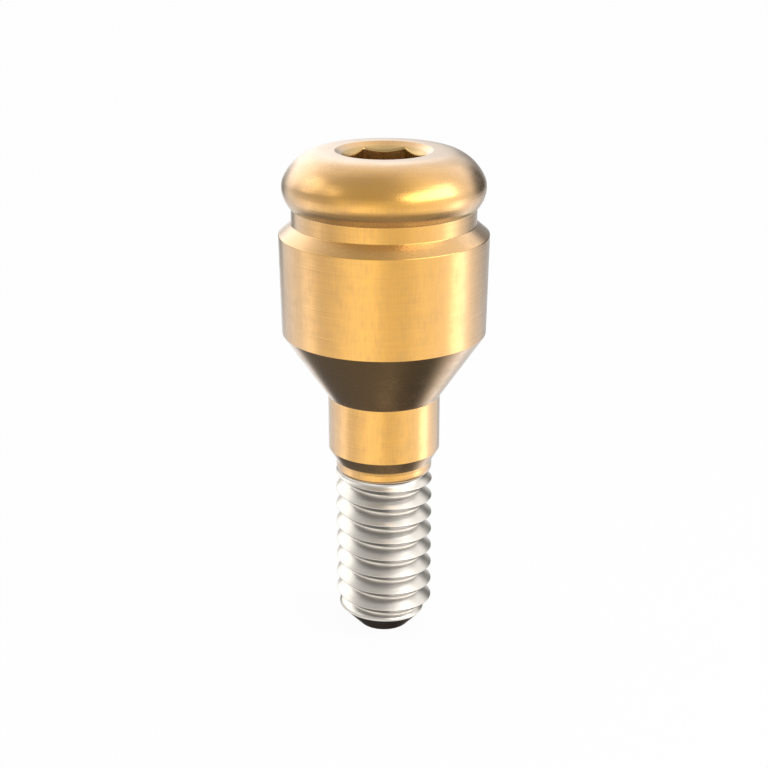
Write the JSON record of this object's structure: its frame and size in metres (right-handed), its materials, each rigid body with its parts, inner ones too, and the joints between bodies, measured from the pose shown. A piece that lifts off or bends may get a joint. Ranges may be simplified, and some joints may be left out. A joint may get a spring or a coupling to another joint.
{
  "type": "dental abutment",
  "caption": "One-piece turned abutment: snap head with hex recess, collar, cone seat, pilot and screw thread.",
  "frame": {"origin": "centre of the implant seat, on the axis where the cone meets the pilot", "axes": "+Z along the turned axis towards the snap head, -Y towards a flat of the hex recess"},
  "size_m": [0.0038, 0.0038, 0.0092],
  "materials": {
    "coated_titanium": "satin gold-coloured nitride coat on titanium, bare satin titanium on the thread"
  },
  "bodies": {
    "root": {"abutment": "coated_titanium"}
  },
  "joints": []
}
